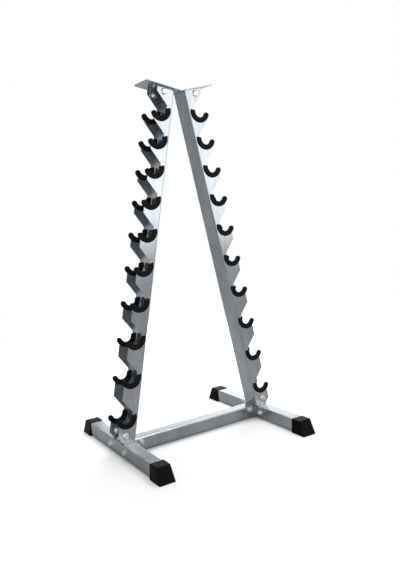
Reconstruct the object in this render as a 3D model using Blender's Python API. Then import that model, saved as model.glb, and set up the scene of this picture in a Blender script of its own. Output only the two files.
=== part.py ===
"""A-frame rack that holds ten pairs of dumbbells, one pair above the other.

Two folded sheet-metal uprights lean against each other under a V-shaped top plate. Each upright
has two flanges cut into ten teeth, and a dumbbell's handle rests across both flanges, in a lined
seat at the top of each tooth. The uprights stand on two square-tube runners that a square-tube
crossbar holds apart. The rack is symmetric, so its left side is its right side turned half
round, and what stands in front on the right comes to stand at the rear on the left.

+X points to the right-hand upright, +Y to the rear, +Z up, with the floor at Z = 0.
"""

from math import acos, cos, pi, radians, sin, tan

import bmesh
import bpy
from mathutils import Matrix, Vector

MM = 0.001
GAP = 0.3 * MM  # left between pieces that touch
OVERSHOOT = 5 * MM  # how far a cutter runs past what it cuts
FLAT_ANGLE = radians(0.5)  # faces closer than this to one plane become one face
SHARP_ANGLE = radians(35)  # edges sharper than this stay crisp under smooth shading

# Base tubes
TUBE = 50 * MM
TUBE_WALL = 2 * MM
TUBE_CORNER = 4 * MM
RUNNER_X = 318 * MM  # from the middle of the rack to a runner's centreline
RUNNER_LENGTH = 594 * MM
FLOOR_CLEARANCE = 3 * MM  # the wall of a foot cap, under the tube
TUBE_CENTRE_Z = FLOOR_CLEARANCE + TUBE / 2
TUBE_TOP_Z = FLOOR_CLEARANCE + TUBE
RUNNER_INNER_X = RUNNER_X - TUBE / 2

# Foot caps, which slide over the runners' ends
CAP_FRONT_EDGE = 257 * MM  # from the middle of the rack to the cap's mouth
CAP_END_TOP = 304 * MM
CAP_END_BOTTOM = 329 * MM
CAP_HALF_WIDTH_TOP = 28 * MM
CAP_HALF_WIDTH_BOTTOM = 31.5 * MM
CAP_HEIGHT = 56 * MM
CAP_EDGE_ROUND = 3 * MM

# Uprights. In an upright's own frame, X runs outwards from the line below the seats' middles,
# Y across both flanges and Z up along the upright.
LEAN = radians(11.7)
SEAT_LINE_FOOT_X = 337.7 * MM  # where the seats' line meets the floor
SHEET = 3 * MM
CHANNEL_WIDTH = 80 * MM
WEB_FACE = -38 * MM
TOOTH_EDGE = 33 * MM
TOOTH_ROOT = -15.5 * MM
BEND_INSIDE = 1.5 * MM
ROOT_ABOVE_SEAT = 20.3 * MM  # measured from a seat's centre, along the upright
CORNER_ABOVE_SEAT = 65 * MM
LOWEST_CORNER = 75 * MM  # the lowest tooth's corner, along the upright
TOOTH_CORNER_ROUND = 7 * MM
TOOTH_ROOT_ROUND = 4 * MM
FLANGE_MIDDLE_Y = (CHANNEL_WIDTH - SHEET) / 2
FLANGE_INNER_Y = CHANNEL_WIDTH / 2 - SHEET

# Seats. The gap between two seats grows towards the floor, where the dumbbells are bigger.
SEAT_PAIRS = 10
LOWEST_SEAT = 150 * MM
WIDEST_SEAT_GAP = 150 * MM
SEAT_GAP_STEP = 5.85 * MM
SEAT_CENTRE_X = 9 * MM
SEAT_RADIUS = 32.5 * MM

# Seat pads: a C of rubber that grips the sheet's edge
PAD_OUTER_RADIUS = 42 * MM
PAD_INNER_RADIUS = 22 * MM
PAD_THICKNESS = 11 * MM
PAD_GROOVE_RADIUS = SEAT_RADIUS - 0.8 * MM  # where the groove's floor lies, clear of the sheet
PAD_GROOVE_WIDTH = SHEET + 2 * GAP
PAD_WEB_END = radians(169.7)
PAD_TIP = radians(-22.8)
PAD_GROOVE_START = PAD_WEB_END - radians(10)
PAD_GROOVE_END = radians(-28)

# Top plate
PLATE_THICKNESS = 3 * MM
PLATE_VALLEY_Z = 1334 * MM  # its underside, in the middle of the rack
PLATE_HALF_LENGTH = 142 * MM
PLATE_HALF_WIDTH = 55 * MM
PLATE_CORNER = 14 * MM
PLATE_BEND_INSIDE = 6 * MM
TAB_THICKNESS = 4 * MM
TAB_WIDTH = 36 * MM
TAB_LENGTH = 34 * MM
TAB_CORNER = 16 * MM
TOP_BOLT_X = 4.5 * MM
TOP_BOLT_BELOW_PLATE = 17.5 * MM
UPRIGHT_TOP = SEAT_LINE_FOOT_X * sin(LEAN) + PLATE_VALLEY_Z * cos(LEAN) - GAP

# Foot brackets inside the uprights
BRACKET_SHEET = 4 * MM
BRACKET_BEND_INSIDE = 2 * MM
FOOT_BOLT_X = 324 * MM
FOOT_BOLT_Z = 81 * MM
FOOT_BRACKET_X = (296 * MM, 342 * MM)
FOOT_EAR_RADIUS = 15 * MM
FOOT_EAR_START = 8 * MM  # above the bracket's underside, where its ears narrow
FOOT_SCREW_X = 330 * MM
FOOT_SCREW_Y = 14 * MM

# Corner brackets between crossbar and runners
CROSSBAR_LEG = 72 * MM
RUNNER_LEG = 50 * MM
CORNER_HEIGHT = 46 * MM
LEG_END_HEIGHT = 12 * MM  # what is left of the crossbar leg's height where its taper ends
LEG_TAPER_FOOT = 10 * MM
LEG_TAPER_ROUND = 16 * MM
CORNER_BOLT = 35 * MM  # from the corner to each hole
CROSSBAR_BOLT_Z = 40 * MM
CORNER_X = RUNNER_INNER_X - GAP
CORNER_Y = TUBE / 2 + GAP

# Fasteners
BOLT_SHANK = 10 * MM
BOLT_HOLE = 10.8 * MM
BOLT_ACROSS_FLATS = 17 * MM
BOLT_HEAD_HEIGHT = 7 * MM
BOLT_LENGTH = 70 * MM
NUT_HEIGHT = 8 * MM
HEAD_FLANGE_DIAMETER = 25 * MM
HEAD_FLANGE_HEIGHT = 2 * MM
SCREW_HOLE = 8.8 * MM
ROUND_SIDES = 10
HEAD_FLANGE_SIDES = 14

# Turns an outline drawn in X and Y so that it stands in X and Z, or in Y and Z.
STAND_IN_XZ = Matrix.Rotation(pi / 2, 4, "X")
STAND_IN_YZ = Matrix(((0, 0, 1), (1, 0, 0), (0, 1, 0))).to_4x4()
UPRIGHT_FRAME = Matrix.Translation((SEAT_LINE_FOOT_X, 0, 0)) @ Matrix.Rotation(-LEAN, 4, "Y")
SIDES = {"right": Matrix.Identity(4), "left": Matrix.Rotation(pi, 4, "Z")}
ROW_AFTER_TURN = {"front": "rear", "rear": "front", "": ""}


# Scene, materials and collections


def clear_scene():
    for obj in list(bpy.data.objects):
        bpy.data.objects.remove(obj, do_unlink=True)


def new_collection(name, hidden=False):
    collection = bpy.data.collections.new(name)
    collection.hide_render = hidden
    bpy.context.scene.collection.children.link(collection)
    return collection


def new_material(name, colour, roughness, metallic):
    material = bpy.data.materials.new(name)
    material.use_nodes = True
    shader = material.node_tree.nodes["Principled BSDF"]
    shader.inputs["Base Color"].default_value = (*colour, 1)
    shader.inputs["Roughness"].default_value = roughness
    shader.inputs["Metallic"].default_value = metallic
    material.diffuse_color = (*colour, 1)
    return material


clear_scene()
RACK = new_collection("dumbbell_rack")
CUTTERS = new_collection("cutters", hidden=True)
SILVER = new_material("silver_powder_coat", (0.42, 0.44, 0.46), 0.42, 0.55)
ZINC = new_material("zinc_plate", (0.78, 0.79, 0.8), 0.25, 1)
BLACK = new_material("black_rubber", (0.012, 0.012, 0.013), 0.6, 0)


# Outlines


def arc(centre, radius, start, end, steps):
    """Points along an arc, both ends included."""
    angles = [start + (end - start) * i / steps for i in range(steps + 1)]
    return [(centre[0] + radius * cos(a), centre[1] + radius * sin(a)) for a in angles]


def rounded(corners, steps=3):
    """A closed outline from (x, y, radius) corners, each rounded to its radius."""
    outline = []
    for i, (x, y, radius) in enumerate(corners):
        here = Vector((x, y))
        if not radius:
            outline.append(tuple(here))
            continue
        back = (Vector(corners[i - 1][:2]) - here).normalized()
        onward = (Vector(corners[(i + 1) % len(corners)][:2]) - here).normalized()
        half_angle = back.angle(onward) / 2
        centre = here + (back + onward).normalized() * radius / sin(half_angle)
        first = here + back * radius / tan(half_angle) - centre
        sweep = (pi - 2 * half_angle) * (1 if back.cross(onward) < 0 else -1)
        for k in range(steps + 1):
            spoke = first.copy()
            spoke.rotate(Matrix.Rotation(sweep * k / steps, 2))
            outline.append(tuple(centre + spoke))
    return outline


def rectangle(low_x, low_y, high_x, high_y, radius=0):
    corners = ((low_x, low_y), (high_x, low_y), (high_x, high_y), (low_x, high_y))
    return rounded([(x, y, radius) for x, y in corners], 2)


# Solids


def link(obj, collection, material=None):
    if material:
        obj.data.materials.clear()
        obj.data.materials.append(material)
    collection.objects.link(obj)
    if collection is CUTTERS:
        obj.hide_render = True
        obj.display_type = "WIRE"
    return obj


def extruded(name, outlines, depth, matrix):
    """The mesh between closed outlines, depth thick about their plane, placed by matrix."""
    curve = bpy.data.curves.new(name, "CURVE")
    curve.dimensions = "2D"
    curve.fill_mode = "BOTH"
    curve.extrude = depth / 2
    for outline in outlines:
        spline = curve.splines.new("POLY")
        spline.points.add(len(outline) - 1)
        for point, (x, y) in zip(spline.points, outline):
            point.co = (x, y, 0, 1)
        spline.use_cyclic_u = True
    holder = bpy.data.objects.new(name + "_outline", curve)
    bpy.context.scene.collection.objects.link(holder)
    evaluated = holder.evaluated_get(bpy.context.evaluated_depsgraph_get())
    mesh = bpy.data.meshes.new_from_object(evaluated)
    mesh.name = name
    bpy.data.objects.remove(holder)
    bpy.data.curves.remove(curve)
    edit = bmesh.new()
    edit.from_mesh(mesh)
    bmesh.ops.remove_doubles(edit, verts=edit.verts, dist=GAP / 100)
    bmesh.ops.transform(edit, matrix=matrix, verts=edit.verts)
    bmesh.ops.recalc_face_normals(edit, faces=edit.faces)
    edit.to_mesh(mesh)
    edit.free()
    return mesh


def plate(name, outlines, depth, matrix, collection, material=None):
    obj = bpy.data.objects.new(name, extruded(name, outlines, depth, matrix))
    return link(obj, collection, material)


def cylinder(name, diameter, start, end, sides=ROUND_SIDES, collection=None):
    """A round or hexagonal bar from start to end."""
    edit = bmesh.new()
    run = Vector(end) - Vector(start)
    place = Matrix.Translation((Vector(start) + Vector(end)) / 2)
    place = place @ Vector((0, 0, 1)).rotation_difference(run).to_matrix().to_4x4()
    bmesh.ops.create_cone(
        edit,
        cap_ends=True,
        segments=sides,
        radius1=diameter / 2,
        radius2=diameter / 2,
        depth=run.length,
        matrix=place,
    )
    mesh = bpy.data.meshes.new(name)
    edit.to_mesh(mesh)
    edit.free()
    return link(bpy.data.objects.new(name, mesh), collection or CUTTERS)


def combine(obj, tools, operation="DIFFERENCE"):
    """Adds one Boolean to obj for each tool."""
    for tool in tools:
        boolean = obj.modifiers.new(tool.name, "BOOLEAN")
        boolean.operation = operation
        boolean.object = tool
    return obj


def finished_mesh(obj):
    """The object's evaluated mesh, its flat faces merged, with the object itself removed."""
    evaluated = obj.evaluated_get(bpy.context.evaluated_depsgraph_get())
    mesh = bpy.data.meshes.new_from_object(evaluated)
    mesh.name = obj.name
    bpy.data.objects.remove(obj)
    edit = bmesh.new()
    edit.from_mesh(mesh)
    bmesh.ops.dissolve_limit(
        edit, angle_limit=FLAT_ANGLE, verts=edit.verts, edges=edit.edges, delimit=set()
    )
    edit.to_mesh(mesh)
    edit.free()
    return mesh


def keep_finished(obj):
    name = obj.name
    link(bpy.data.objects.new(name, finished_mesh(obj)), RACK)


def place_copy(name, mesh, matrix, side, row=""):
    """Another object on the same mesh, under the empty of its side of the rack."""
    row = row if side == "right" else ROW_AFTER_TURN[row]
    obj = bpy.data.objects.new("_".join(filter(None, (side, row, name))), mesh)
    RACK.objects.link(obj)
    obj.parent = SIDE_EMPTIES[side]
    obj.matrix_local = matrix


def on_both_sides(name, source, rows=None):
    """Puts source, modelled on the right, on both sides: once, or once for each row's matrix."""
    mesh = finished_mesh(source)
    for side in SIDES:
        for row, matrix in (rows or {"": Matrix.Identity(4)}).items():
            place_copy(name, mesh, matrix, side, row)


def side_empty(name, matrix):
    empty = bpy.data.objects.new(name + "_side", None)
    RACK.objects.link(empty)
    empty.matrix_world = matrix
    return empty


SIDE_EMPTIES = {name: side_empty(name, matrix) for name, matrix in SIDES.items()}


# Base


def square_tube(name, length, matrix):
    half = TUBE / 2
    inside = half - TUBE_WALL
    outer = rectangle(-half, -half, half, half, TUBE_CORNER)
    inner = rectangle(-inside, -inside, inside, inside, TUBE_CORNER - TUBE_WALL)
    return plate(name, [outer, inner], length, matrix, RACK, SILVER)


def make_runners():
    place = Matrix.Translation((RUNNER_X, 0, TUBE_CENTRE_Z)) @ STAND_IN_XZ
    runner = square_tube("runner", RUNNER_LENGTH, place)
    holes = []
    for y in (-1, 1):
        bolt_y = y * (CORNER_Y + CORNER_BOLT)
        reach = TUBE / 2 + OVERSHOOT
        start = (RUNNER_X - reach, bolt_y, TUBE_CENTRE_Z)
        end = (RUNNER_X + reach, bolt_y, TUBE_CENTRE_Z)
        holes.append(cylinder("runner_bolt_hole", BOLT_HOLE, start, end))
        top = (FOOT_SCREW_X, y * FOOT_SCREW_Y, TUBE_TOP_Z + OVERSHOOT)
        below = (FOOT_SCREW_X, y * FOOT_SCREW_Y, TUBE_TOP_Z - TUBE_WALL - OVERSHOOT)
        holes.append(cylinder("runner_screw_hole", SCREW_HOLE, below, top))
    on_both_sides("runner", combine(runner, holes))


def make_crossbar():
    place = Matrix.Translation((0, 0, TUBE_CENTRE_Z)) @ STAND_IN_YZ
    crossbar = square_tube("crossbar", 2 * CORNER_X, place)
    reach = TUBE / 2 + OVERSHOOT
    holes = []
    for x in (CORNER_BOLT - CORNER_X, CORNER_X - CORNER_BOLT):
        start = (x, -reach, CROSSBAR_BOLT_Z)
        end = (x, reach, CROSSBAR_BOLT_Z)
        holes.append(cylinder("crossbar_bolt_hole", BOLT_HOLE, start, end))
    keep_finished(combine(crossbar, holes))


def make_foot_caps():
    """A block that widens and slopes out towards the floor, hollowed for the runner's end."""
    edit = bmesh.new()
    bmesh.ops.create_cube(edit, size=2)
    for vert in edit.verts:
        at_top = vert.co.z > 0
        at_end = vert.co.y < 0
        half_width = CAP_HALF_WIDTH_TOP if at_top else CAP_HALF_WIDTH_BOTTOM
        end = CAP_END_TOP if at_top else CAP_END_BOTTOM
        vert.co.x = RUNNER_X + vert.co.x * half_width
        vert.co.y = -end if at_end else -CAP_FRONT_EDGE
        vert.co.z = CAP_HEIGHT if at_top else 0
    rims = [e for e in edit.edges if any(v.co.z > 0 for v in e.verts)]
    bmesh.ops.bevel(
        edit, geom=rims, offset=CAP_EDGE_ROUND, segments=2, profile=0.5, affect="EDGES"
    )
    mesh = bpy.data.meshes.new("foot_cap")
    edit.to_mesh(mesh)
    edit.free()
    cap = link(bpy.data.objects.new("foot_cap", mesh), RACK, BLACK)

    half = TUBE / 2 + GAP
    pocket_start = RUNNER_LENGTH / 2 + GAP
    depth = pocket_start - CAP_FRONT_EDGE + OVERSHOOT
    outline = rectangle(-half, -half, half, half, TUBE_CORNER)
    place = Matrix.Translation((RUNNER_X, depth / 2 - pocket_start, TUBE_CENTRE_Z))
    pocket = plate("cap_pocket", [outline], depth, place @ STAND_IN_XZ, CUTTERS)
    half_turn = Matrix.Rotation(pi, 4, "Z")
    to_axis = Matrix.Translation((RUNNER_X, 0, 0))
    turned = to_axis @ half_turn @ to_axis.inverted()
    rows = {"front": Matrix.Identity(4), "rear": turned}
    on_both_sides("foot_cap", combine(cap, [pocket]), rows)


def mirrored(mesh):
    """A copy of mesh on the other side of the plane Y = 0."""
    copy = mesh.copy()
    copy.transform(Matrix.Diagonal((1, -1, 1, 1)))
    copy.flip_normals()
    return copy


def make_corner_brackets():
    """A bent L of plate in each corner between a runner and the crossbar.

    The leg along the crossbar tapers from below, so that it is narrow at its end.
    """
    section = [
        (0, 0, BRACKET_BEND_INSIDE + BRACKET_SHEET),
        (-CROSSBAR_LEG, 0, 0),
        (-CROSSBAR_LEG, -BRACKET_SHEET, 0),
        (-BRACKET_SHEET, -BRACKET_SHEET, BRACKET_BEND_INSIDE),
        (-BRACKET_SHEET, -RUNNER_LEG, 0),
        (0, -RUNNER_LEG, 0),
    ]
    centre = Matrix.Translation((0, 0, TUBE_CENTRE_Z))
    bracket = plate("corner_bracket", [rounded(section)], CORNER_HEIGHT, centre, RACK, SILVER)
    high = CORNER_HEIGHT / 2 + OVERSHOOT
    end = -CROSSBAR_LEG - OVERSHOOT
    taper_top = CORNER_HEIGHT / 2 - LEG_END_HEIGHT
    side_view = [
        (OVERSHOOT, high, 0),
        (end, high, 0),
        (end, taper_top, 0),
        (-CROSSBAR_LEG + OVERSHOOT, taper_top, LEG_TAPER_ROUND),
        (-LEG_TAPER_FOOT, -high, 0),
        (OVERSHOOT, -high, 0),
    ]
    shape = plate(
        "corner_leg_shape", [rounded(side_view)], 4 * RUNNER_LEG, centre @ STAND_IN_XZ, CUTTERS
    )
    combine(bracket, [shape], "INTERSECT")
    past = BRACKET_SHEET + OVERSHOOT
    holes = [
        cylinder(
            "corner_crossbar_hole",
            BOLT_HOLE,
            (-CORNER_BOLT, -past, CROSSBAR_BOLT_Z),
            (-CORNER_BOLT, OVERSHOOT, CROSSBAR_BOLT_Z),
        ),
        cylinder(
            "corner_runner_hole",
            BOLT_HOLE,
            (-past, -CORNER_BOLT, TUBE_CENTRE_Z),
            (OVERSHOOT, -CORNER_BOLT, TUBE_CENTRE_Z),
        ),
    ]
    mesh = finished_mesh(combine(bracket, holes))
    opposite = mirrored(mesh)
    for side in SIDES:
        front = Matrix.Translation((CORNER_X, -CORNER_Y, 0))
        place_copy("corner_bracket", mesh, front, side, "front")
        rear = Matrix.Translation((CORNER_X, CORNER_Y, 0))
        place_copy("corner_bracket", opposite, rear, side, "rear")


def make_foot_brackets():
    """A U of plate on each runner, whose ears stand inside the upright's flanges."""
    low_x, high_x = FOOT_BRACKET_X
    floor = TUBE_TOP_Z + GAP
    half = FLANGE_INNER_Y - GAP
    inside = half - BRACKET_SHEET
    top = FOOT_BOLT_Z + FOOT_EAR_RADIUS + OVERSHOOT
    outer_bend = BRACKET_BEND_INSIDE + BRACKET_SHEET
    section = [
        (-half, top, 0),
        (-half, floor, outer_bend),
        (half, floor, outer_bend),
        (half, top, 0),
        (inside, top, 0),
        (inside, floor + BRACKET_SHEET, BRACKET_BEND_INSIDE),
        (-inside, floor + BRACKET_SHEET, BRACKET_BEND_INSIDE),
        (-inside, top, 0),
    ]
    place = Matrix.Translation(((low_x + high_x) / 2, 0, 0)) @ STAND_IN_YZ
    bracket = plate(
        "foot_bracket", [rounded(section)], high_x - low_x, place, RACK, SILVER
    )
    bolt = (FOOT_BOLT_X, FOOT_BOLT_Z)
    ear = arc(bolt, FOOT_EAR_RADIUS, 0, pi, 6)
    side_view = [
        (low_x - OVERSHOOT, floor - OVERSHOOT),
        (high_x + OVERSHOOT, floor - OVERSHOOT),
        (high_x + OVERSHOOT, floor + FOOT_EAR_START),
        *ear,
        (low_x - OVERSHOOT, floor + FOOT_EAR_START),
    ]
    ear_shape = plate(
        "foot_ear_shape", [side_view], CHANNEL_WIDTH, STAND_IN_XZ, CUTTERS
    )
    combine(bracket, [ear_shape], "INTERSECT")
    holes = [
        cylinder(
            "foot_ear_hole",
            BOLT_HOLE,
            (FOOT_BOLT_X, -CHANNEL_WIDTH, FOOT_BOLT_Z),
            (FOOT_BOLT_X, CHANNEL_WIDTH, FOOT_BOLT_Z),
        )
    ]
    for y in (-FOOT_SCREW_Y, FOOT_SCREW_Y):
        start = (FOOT_SCREW_X, y, floor - OVERSHOOT)
        end = (FOOT_SCREW_X, y, floor + BRACKET_SHEET + OVERSHOOT)
        holes.append(cylinder("foot_screw_hole", SCREW_HOLE, start, end))
    on_both_sides("foot_bracket", combine(bracket, holes))


# Uprights and seats


def seat_positions():
    """Each seat centre's place along its upright, from the lowest to the highest."""
    place = LOWEST_SEAT
    gap = WIDEST_SEAT_GAP
    places = []
    for _ in range(SEAT_PAIRS):
        places.append(place)
        place += gap
        gap -= SEAT_GAP_STEP
    return places


def tooth_profile():
    """The free edge of a flange, from its foot to its top."""
    seat_x = SEAT_CENTRE_X
    tip_angle = -acos((TOOTH_EDGE - seat_x) / SEAT_RADIUS)
    web_angle = PAD_WEB_END - LEAN
    ledge = (TOOTH_ROOT - seat_x) / cos(web_angle)
    lowest_root = LOWEST_CORNER - (CORNER_ABOVE_SEAT - ROOT_ABOVE_SEAT)
    corners = [
        (TOOTH_ROOT, -OVERSHOOT, 0),
        (TOOTH_ROOT, lowest_root, 0),
        (TOOTH_EDGE, LOWEST_CORNER, TOOTH_CORNER_ROUND),
    ]
    for seat in seat_positions():
        centre = (seat_x, seat)
        bowl = arc(centre, SEAT_RADIUS, tip_angle, web_angle - 2 * pi, 8)
        corners += [(x, z, 0) for x, z in bowl]
        corners.append((TOOTH_ROOT, seat + ledge * sin(web_angle), 0))
        corners.append((TOOTH_ROOT, seat + ROOT_ABOVE_SEAT, TOOTH_ROOT_ROUND))
        corners.append((TOOTH_EDGE, seat + CORNER_ABOVE_SEAT, TOOTH_CORNER_ROUND))
    corners.append((TOOTH_EDGE, UPRIGHT_TOP + OVERSHOOT, 0))
    return corners


def in_upright(x, y, z):
    return UPRIGHT_FRAME @ Vector((x, y, z))


def make_uprights():
    half = CHANNEL_WIDTH / 2
    inside = half - SHEET
    far = TOOTH_EDGE + OVERSHOOT
    outer_bend = BEND_INSIDE + SHEET
    section = [
        (WEB_FACE, -half, outer_bend),
        (far, -half, 0),
        (far, -inside, 0),
        (WEB_FACE + SHEET, -inside, BEND_INSIDE),
        (WEB_FACE + SHEET, inside, BEND_INSIDE),
        (far, inside, 0),
        (far, half, 0),
        (WEB_FACE, half, outer_bend),
    ]
    lift = Matrix.Translation((0, 0, UPRIGHT_TOP / 2))
    upright = plate(
        "upright", [rounded(section, 2)], UPRIGHT_TOP, UPRIGHT_FRAME @ lift, RACK, SILVER
    )

    away = far + OVERSHOOT
    outline = [
        (away, -OVERSHOOT, 0),
        *tooth_profile(),
        (away, UPRIGHT_TOP + OVERSHOOT, 0),
    ]
    width = CHANNEL_WIDTH + 2 * OVERSHOOT
    teeth = plate(
        "teeth_cut", [rounded(outline, 2)], width, UPRIGHT_FRAME @ STAND_IN_XZ, CUTTERS
    )

    foot_x = SEAT_LINE_FOOT_X + WEB_FACE * 2
    foot_depth = TUBE_TOP_Z + GAP
    foot_outline = rectangle(foot_x, -foot_depth, foot_x + 4 * TUBE, foot_depth)
    foot = plate("foot_cut", [foot_outline], width, STAND_IN_XZ, CUTTERS)

    bolt_z = UPRIGHT_TOP - TOP_BOLT_BELOW_PLATE
    top_hole = cylinder(
        "top_bolt_hole",
        BOLT_HOLE,
        in_upright(TOP_BOLT_X, -half - OVERSHOOT, bolt_z),
        in_upright(TOP_BOLT_X, half + OVERSHOOT, bolt_z),
    )
    foot_hole = cylinder(
        "foot_bolt_hole",
        BOLT_HOLE,
        (FOOT_BOLT_X, -half - OVERSHOOT, FOOT_BOLT_Z),
        (FOOT_BOLT_X, half + OVERSHOOT, FOOT_BOLT_Z),
    )
    on_both_sides("upright", combine(upright, [teeth, foot, top_hole, foot_hole]))


def make_pads():
    """A C-shaped lining in each seat, cut square at the web end and round at the open end."""
    middle = (PAD_OUTER_RADIUS + PAD_INNER_RADIUS) / 2
    bead = (PAD_OUTER_RADIUS - PAD_INNER_RADIUS) / 2
    tip = PAD_TIP + 2 * pi
    tip_centre = (middle * cos(tip), middle * sin(tip))
    outline = [
        *arc((0, 0), PAD_OUTER_RADIUS, PAD_WEB_END, tip, 8),
        *arc(tip_centre, bead, tip, tip + pi, 4)[1:-1],
        *arc((0, 0), PAD_INNER_RADIUS, tip, PAD_WEB_END, 7),
    ]
    pad = plate("seat_pad", [outline], PAD_THICKNESS, STAND_IN_XZ, RACK, BLACK)
    beyond = PAD_OUTER_RADIUS + OVERSHOOT
    end = PAD_GROOVE_END + 2 * pi
    groove_outline = [
        *arc((0, 0), beyond, PAD_GROOVE_START, end, 8),
        *arc((0, 0), PAD_GROOVE_RADIUS, end, PAD_GROOVE_START, 8),
    ]
    groove = plate("pad_groove", [groove_outline], PAD_GROOVE_WIDTH, STAND_IN_XZ, CUTTERS)
    mesh = finished_mesh(combine(pad, [groove]))
    for number, seat in enumerate(reversed(seat_positions()), start=1):
        centre = in_upright(SEAT_CENTRE_X, 0, seat)
        for row, y in (("front", -FLANGE_MIDDLE_Y), ("rear", FLANGE_MIDDLE_Y)):
            here = Matrix.Translation(centre + Vector((0, y, 0)))
            for side in SIDES:
                place_copy(f"pad_{number:02d}", mesh, here, side, row)


# Top plate


def make_top_plate():
    """A shallow V of plate, with four tabs below it that bolt inside the flanges."""
    rise = PLATE_HALF_LENGTH * tan(LEAN)
    edge = Vector((-sin(LEAN), cos(LEAN))) * PLATE_THICKNESS
    valley_top = PLATE_VALLEY_Z + PLATE_THICKNESS / cos(LEAN)
    corners = [
        (-PLATE_HALF_LENGTH, PLATE_VALLEY_Z + rise, 0),
        (0, PLATE_VALLEY_Z, PLATE_BEND_INSIDE + PLATE_THICKNESS),
        (PLATE_HALF_LENGTH, PLATE_VALLEY_Z + rise, 0),
        (PLATE_HALF_LENGTH + edge.x, PLATE_VALLEY_Z + rise + edge.y, 0),
        (0, valley_top, PLATE_BEND_INSIDE),
        (-PLATE_HALF_LENGTH - edge.x, PLATE_VALLEY_Z + rise + edge.y, 0),
    ]
    mesh = extruded("top_plate", [rounded(corners)], 2 * PLATE_HALF_WIDTH, STAND_IN_XZ)
    edit = bmesh.new()
    edit.from_mesh(mesh)
    far_x = PLATE_HALF_LENGTH - PLATE_THICKNESS
    short_edges = [
        e
        for e in edit.edges
        if all(abs(v.co.x) > far_x for v in e.verts)
        and abs(e.verts[0].co.y - e.verts[1].co.y) < GAP
        and e.calc_length() < 2 * PLATE_THICKNESS
    ]
    bmesh.ops.bevel(
        edit, geom=short_edges, offset=PLATE_CORNER, segments=4, profile=0.5, affect="EDGES"
    )
    edit.to_mesh(mesh)
    edit.free()
    top_plate = link(bpy.data.objects.new("top_plate", mesh), RACK, SILVER)

    half = TAB_WIDTH / 2
    low = UPRIGHT_TOP - TAB_LENGTH
    high = UPRIGHT_TOP + GAP + PLATE_THICKNESS / 2
    outline = rounded(
        [
            (TOP_BOLT_X - half, low, TAB_CORNER),
            (TOP_BOLT_X + half, low, TAB_CORNER),
            (TOP_BOLT_X + half, high, 0),
            (TOP_BOLT_X - half, high, 0),
        ]
    )
    tab_y = FLANGE_INNER_Y - GAP - TAB_THICKNESS / 2
    bolt_z = UPRIGHT_TOP - TOP_BOLT_BELOW_PLATE
    tabs = []
    holes = []
    for turn in SIDES.values():
        frame = turn @ UPRIGHT_FRAME
        for y in (-tab_y, tab_y):
            place = frame @ Matrix.Translation((0, y, 0)) @ STAND_IN_XZ
            tabs.append(plate("top_tab", [outline], TAB_THICKNESS, place, CUTTERS))
        start = frame @ Vector((TOP_BOLT_X, -CHANNEL_WIDTH, bolt_z))
        end = frame @ Vector((TOP_BOLT_X, CHANNEL_WIDTH, bolt_z))
        holes.append(cylinder("top_tab_hole", BOLT_HOLE, start, end))
    combine(top_plate, tabs, "UNION")
    keep_finished(combine(top_plate, holes))


# Fasteners


def hexagon_bar(name, across_flats, start, end):
    return cylinder(name, across_flats / cos(pi / 6), start, end, 6)


def make_frame_bolts():
    """The bolts that go through a runner and a corner bracket, each joined to its nut."""
    head_x = RUNNER_X + TUBE / 2 + GAP
    nut_x = CORNER_X - BRACKET_SHEET - GAP
    overlap = BOLT_HEAD_HEIGHT / 2
    bolt_y = CORNER_Y + CORNER_BOLT

    def at(x, y=bolt_y):
        return (x, y, TUBE_CENTRE_Z)

    shank = (at(head_x - BOLT_LENGTH), at(head_x + overlap))
    bolt = cylinder("frame_bolt", BOLT_SHANK, *shank, collection=RACK)
    bolt.data.materials.append(ZINC)
    ends = (at(head_x), at(head_x + HEAD_FLANGE_HEIGHT))
    head_flange = cylinder("head_flange", HEAD_FLANGE_DIAMETER, *ends, HEAD_FLANGE_SIDES)
    ends = (at(head_x + GAP), at(head_x + BOLT_HEAD_HEIGHT))
    head = hexagon_bar("bolt_head", BOLT_ACROSS_FLATS, *ends)
    ends = (at(nut_x), at(nut_x - NUT_HEIGHT))
    nut = hexagon_bar("bolt_nut", BOLT_ACROSS_FLATS, *ends)
    rows = {"rear": Matrix.Identity(4), "front": Matrix.Translation((0, -2 * bolt_y, 0))}
    on_both_sides("frame_bolt", combine(bolt, [head_flange, head, nut], "UNION"), rows)


def shade_round_pieces():
    for obj in RACK.objects:
        if obj.type == "MESH":
            obj.data.shade_smooth()
            obj.data.set_sharp_from_angle(angle=SHARP_ANGLE)


make_runners()
make_crossbar()
make_foot_caps()
make_corner_brackets()
make_foot_brackets()
make_uprights()
make_pads()
make_top_plate()
make_frame_bolts()
shade_round_pieces()
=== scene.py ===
# %% [markdown]
# # A dumbbell rack, dressed around its frame
#
# The rack is an A-frame for ten pairs of dumbbells. Two uprights, each folded from 3 mm steel
# sheet, lean together under a bent top plate and stand on a base of 50 mm square tube. The frame
# that is loaded here fixes where every part is. This lesson makes the finer shapes that a maker
# would see close up, such as broken edges and bolt heads, and then the finishes.

# %% Load the frame
from contextlib import contextmanager
from math import acos, ceil, cos, pi, radians, sin, tan

import bmesh
import bpy
from mathutils import Matrix, Vector


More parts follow.
